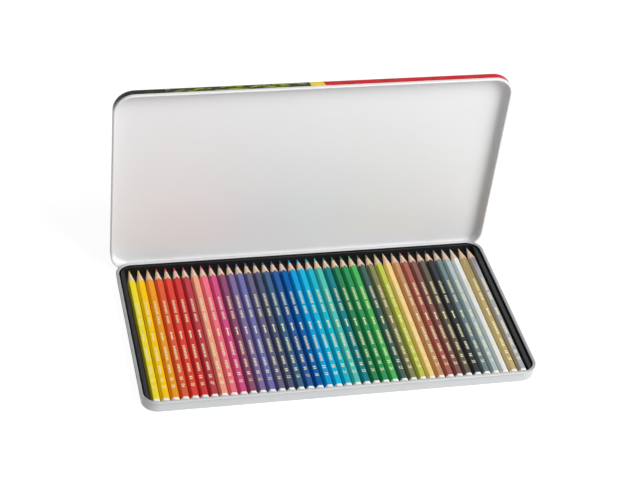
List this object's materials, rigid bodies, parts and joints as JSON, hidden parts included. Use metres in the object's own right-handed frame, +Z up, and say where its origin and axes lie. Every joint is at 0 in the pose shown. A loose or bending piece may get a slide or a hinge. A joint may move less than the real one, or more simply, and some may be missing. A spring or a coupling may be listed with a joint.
{
  "type": "colored pencil box",
  "caption": "Flat hinged tinplate box, shown open, with a row of hexagonal coloured pencils in a black formed liner; the lid swings on wire hinges and each pencil lifts out.",
  "frame": {"origin": "middle of the tray's flat underside", "axes": "+X along the width to the right, +Y from the front to the hinge, +Z up"},
  "size_m": [0.3384, 0.1968, 0.192],
  "materials": {
    "tray_enamel": "satin enamel",
    "liner_plastic": "semi-matt",
    "lid_enamel": "satin enamel",
    "pin_steel": "bright wire",
    "pencil_01_lacquer": "gloss lacquer",
    "pencil_02_lacquer": "gloss lacquer",
    "pencil_03_lacquer": "gloss lacquer",
    "pencil_04_lacquer": "gloss lacquer",
    "pencil_05_lacquer": "gloss lacquer",
    "pencil_06_lacquer": "gloss lacquer",
    "pencil_07_lacquer": "gloss lacquer",
    "pencil_08_lacquer": "gloss lacquer",
    "pencil_09_lacquer": "gloss lacquer",
    "pencil_10_lacquer": "gloss lacquer",
    "pencil_11_lacquer": "gloss lacquer",
    "pencil_12_lacquer": "gloss lacquer",
    "pencil_13_lacquer": "gloss lacquer",
    "pencil_14_lacquer": "gloss lacquer",
    "pencil_15_lacquer": "gloss lacquer",
    "pencil_16_lacquer": "gloss lacquer",
    "pencil_17_lacquer": "gloss lacquer",
    "pencil_18_lacquer": "gloss lacquer",
    "pencil_19_lacquer": "gloss lacquer",
    "pencil_20_lacquer": "gloss lacquer",
    "pencil_21_lacquer": "gloss lacquer",
    "pencil_22_lacquer": "gloss lacquer",
    "pencil_23_lacquer": "gloss lacquer",
    "pencil_24_lacquer": "gloss lacquer",
    "pencil_25_lacquer": "gloss lacquer",
    "pencil_26_lacquer": "gloss lacquer",
    "pencil_27_lacquer": "gloss lacquer",
    "pencil_28_lacquer": "gloss lacquer",
    "pencil_29_lacquer": "gloss lacquer",
    "pencil_30_lacquer": "gloss lacquer",
    "pencil_31_lacquer": "gloss lacquer",
    "pencil_32_lacquer": "gloss lacquer",
    "pencil_33_lacquer": "gloss lacquer",
    "pencil_34_lacquer": "gloss lacquer",
    "pencil_35_lacquer": "gloss lacquer",
    "pencil_36_lacquer": "gloss lacquer",
    "pencil_37_lacquer": "gloss lacquer",
    "pencil_38_lacquer": "gloss lacquer",
    "pencil_39_lacquer": "gloss lacquer",
    "pencil_40_lacquer": "gloss lacquer"
  },
  "bodies": {
    "base": {"base_pan": "tray_enamel", "liner": "liner_plastic"},
    "lid": {"lid_pan": "lid_enamel", "hinge_pin_left": "pin_steel", "hinge_pin_middle": "pin_steel", "hinge_pin_right": "pin_steel"},
    "pencil_01": {"pencil_01": "pencil_01_lacquer"},
    "pencil_02": {"pencil_02": "pencil_02_lacquer"},
    "pencil_03": {"pencil_03": "pencil_03_lacquer"},
    "pencil_04": {"pencil_04": "pencil_04_lacquer"},
    "pencil_05": {"pencil_05": "pencil_05_lacquer"},
    "pencil_06": {"pencil_06": "pencil_06_lacquer"},
    "pencil_07": {"pencil_07": "pencil_07_lacquer"},
    "pencil_08": {"pencil_08": "pencil_08_lacquer"},
    "pencil_09": {"pencil_09": "pencil_09_lacquer"},
    "pencil_10": {"pencil_10": "pencil_10_lacquer"},
    "pencil_11": {"pencil_11": "pencil_11_lacquer"},
    "pencil_12": {"pencil_12": "pencil_12_lacquer"},
    "pencil_13": {"pencil_13": "pencil_13_lacquer"},
    "pencil_14": {"pencil_14": "pencil_14_lacquer"},
    "pencil_15": {"pencil_15": "pencil_15_lacquer"},
    "pencil_16": {"pencil_16": "pencil_16_lacquer"},
    "pencil_17": {"pencil_17": "pencil_17_lacquer"},
    "pencil_18": {"pencil_18": "pencil_18_lacquer"},
    "pencil_19": {"pencil_19": "pencil_19_lacquer"},
    "pencil_20": {"pencil_20": "pencil_20_lacquer"},
    "pencil_21": {"pencil_21": "pencil_21_lacquer"},
    "pencil_22": {"pencil_22": "pencil_22_lacquer"},
    "pencil_23": {"pencil_23": "pencil_23_lacquer"},
    "pencil_24": {"pencil_24": "pencil_24_lacquer"},
    "pencil_25": {"pencil_25": "pencil_25_lacquer"},
    "pencil_26": {"pencil_26": "pencil_26_lacquer"},
    "pencil_27": {"pencil_27": "pencil_27_lacquer"},
    "pencil_28": {"pencil_28": "pencil_28_lacquer"},
    "pencil_29": {"pencil_29": "pencil_29_lacquer"},
    "pencil_30": {"pencil_30": "pencil_30_lacquer"},
    "pencil_31": {"pencil_31": "pencil_31_lacquer"},
    "pencil_32": {"pencil_32": "pencil_32_lacquer"},
    "pencil_33": {"pencil_33": "pencil_33_lacquer"},
    "pencil_34": {"pencil_34": "pencil_34_lacquer"},
    "pencil_35": {"pencil_35": "pencil_35_lacquer"},
    "pencil_36": {"pencil_36": "pencil_36_lacquer"},
    "pencil_37": {"pencil_37": "pencil_37_lacquer"},
    "pencil_38": {"pencil_38": "pencil_38_lacquer"},
    "pencil_39": {"pencil_39": "pencil_39_lacquer"},
    "pencil_40": {"pencil_40": "pencil_40_lacquer"}
  },
  "joints": [
    {"name": "lid_hinge", "type": "hinge", "parent": "base", "child": "lid", "pos_m": [0, 0.0948, 0.0018], "axis": [-1, 0, 0], "range_deg": [-84.5, 8]},
    {"name": "pencil_01_lift", "type": "slide", "parent": "base", "child": "pencil_01", "axis": [0, 0, 1], "range_m": [0, 0.03]},
    {"name": "pencil_02_lift", "type": "slide", "parent": "base", "child": "pencil_02", "axis": [0, 0, 1], "range_m": [0, 0.03]},
    {"name": "pencil_03_lift", "type": "slide", "parent": "base", "child": "pencil_03", "axis": [0, 0, 1], "range_m": [0, 0.03]},
    {"name": "pencil_04_lift", "type": "slide", "parent": "base", "child": "pencil_04", "axis": [0, 0, 1], "range_m": [0, 0.03]},
    {"name": "pencil_05_lift", "type": "slide", "parent": "base", "child": "pencil_05", "axis": [0, 0, 1], "range_m": [0, 0.03]},
    {"name": "pencil_06_lift", "type": "slide", "parent": "base", "child": "pencil_06", "axis": [0, 0, 1], "range_m": [0, 0.03]},
    {"name": "pencil_07_lift", "type": "slide", "parent": "base", "child": "pencil_07", "axis": [0, 0, 1], "range_m": [0, 0.03]},
    {"name": "pencil_08_lift", "type": "slide", "parent": "base", "child": "pencil_08", "axis": [0, 0, 1], "range_m": [0, 0.03]},
    {"name": "pencil_09_lift", "type": "slide", "parent": "base", "child": "pencil_09", "axis": [0, 0, 1], "range_m": [0, 0.03]},
    {"name": "pencil_10_lift", "type": "slide", "parent": "base", "child": "pencil_10", "axis": [0, 0, 1], "range_m": [0, 0.03]},
    {"name": "pencil_11_lift", "type": "slide", "parent": "base", "child": "pencil_11", "axis": [0, 0, 1], "range_m": [0, 0.03]},
    {"name": "pencil_12_lift", "type": "slide", "parent": "base", "child": "pencil_12", "axis": [0, 0, 1], "range_m": [0, 0.03]},
    {"name": "pencil_13_lift", "type": "slide", "parent": "base", "child": "pencil_13", "axis": [0, 0, 1], "range_m": [0, 0.03]},
    {"name": "pencil_14_lift", "type": "slide", "parent": "base", "child": "pencil_14", "axis": [0, 0, 1], "range_m": [0, 0.03]},
    {"name": "pencil_15_lift", "type": "slide", "parent": "base", "child": "pencil_15", "axis": [0, 0, 1], "range_m": [0, 0.03]},
    {"name": "pencil_16_lift", "type": "slide", "parent": "base", "child": "pencil_16", "axis": [0, 0, 1], "range_m": [0, 0.03]},
    {"name": "pencil_17_lift", "type": "slide", "parent": "base", "child": "pencil_17", "axis": [0, 0, 1], "range_m": [0, 0.03]},
    {"name": "pencil_18_lift", "type": "slide", "parent": "base", "child": "pencil_18", "axis": [0, 0, 1], "range_m": [0, 0.03]},
    {"name": "pencil_19_lift", "type": "slide", "parent": "base", "child": "pencil_19", "axis": [0, 0, 1], "range_m": [0, 0.03]},
    {"name": "pencil_20_lift", "type": "slide", "parent": "base", "child": "pencil_20", "axis": [0, 0, 1], "range_m": [0, 0.03]},
    {"name": "pencil_21_lift", "type": "slide", "parent": "base", "child": "pencil_21", "axis": [0, 0, 1], "range_m": [0, 0.03]},
    {"name": "pencil_22_lift", "type": "slide", "parent": "base", "child": "pencil_22", "axis": [0, 0, 1], "range_m": [0, 0.03]},
    {"name": "pencil_23_lift", "type": "slide", "parent": "base", "child": "pencil_23", "axis": [0, 0, 1], "range_m": [0, 0.03]},
    {"name": "pencil_24_lift", "type": "slide", "parent": "base", "child": "pencil_24", "axis": [0, 0, 1], "range_m": [0, 0.03]},
    {"name": "pencil_25_lift", "type": "slide", "parent": "base", "child": "pencil_25", "axis": [0, 0, 1], "range_m": [0, 0.03]},
    {"name": "pencil_26_lift", "type": "slide", "parent": "base", "child": "pencil_26", "axis": [0, 0, 1], "range_m": [0, 0.03]},
    {"name": "pencil_27_lift", "type": "slide", "parent": "base", "child": "pencil_27", "axis": [0, 0, 1], "range_m": [0, 0.03]},
    {"name": "pencil_28_lift", "type": "slide", "parent": "base", "child": "pencil_28", "axis": [0, 0, 1], "range_m": [0, 0.03]},
    {"name": "pencil_29_lift", "type": "slide", "parent": "base", "child": "pencil_29", "axis": [0, 0, 1], "range_m": [0, 0.03]},
    {"name": "pencil_30_lift", "type": "slide", "parent": "base", "child": "pencil_30", "axis": [0, 0, 1], "range_m": [0, 0.03]},
    {"name": "pencil_31_lift", "type": "slide", "parent": "base", "child": "pencil_31", "axis": [0, 0, 1], "range_m": [0, 0.03]},
    {"name": "pencil_32_lift", "type": "slide", "parent": "base", "child": "pencil_32", "axis": [0, 0, 1], "range_m": [0, 0.03]},
    {"name": "pencil_33_lift", "type": "slide", "parent": "base", "child": "pencil_33", "axis": [0, 0, 1], "range_m": [0, 0.03]},
    {"name": "pencil_34_lift", "type": "slide", "parent": "base", "child": "pencil_34", "axis": [0, 0, 1], "range_m": [0, 0.03]},
    {"name": "pencil_35_lift", "type": "slide", "parent": "base", "child": "pencil_35", "axis": [0, 0, 1], "range_m": [0, 0.03]},
    {"name": "pencil_36_lift", "type": "slide", "parent": "base", "child": "pencil_36", "axis": [0, 0, 1], "range_m": [0, 0.03]},
    {"name": "pencil_37_lift", "type": "slide", "parent": "base", "child": "pencil_37", "axis": [0, 0, 1], "range_m": [0, 0.03]},
    {"name": "pencil_38_lift", "type": "slide", "parent": "base", "child": "pencil_38", "axis": [0, 0, 1], "range_m": [0, 0.03]},
    {"name": "pencil_39_lift", "type": "slide", "parent": "base", "child": "pencil_39", "axis": [0, 0, 1], "range_m": [0, 0.03]},
    {"name": "pencil_40_lift", "type": "slide", "parent": "base", "child": "pencil_40", "axis": [0, 0, 1], "range_m": [0, 0.03]}
  ]
}
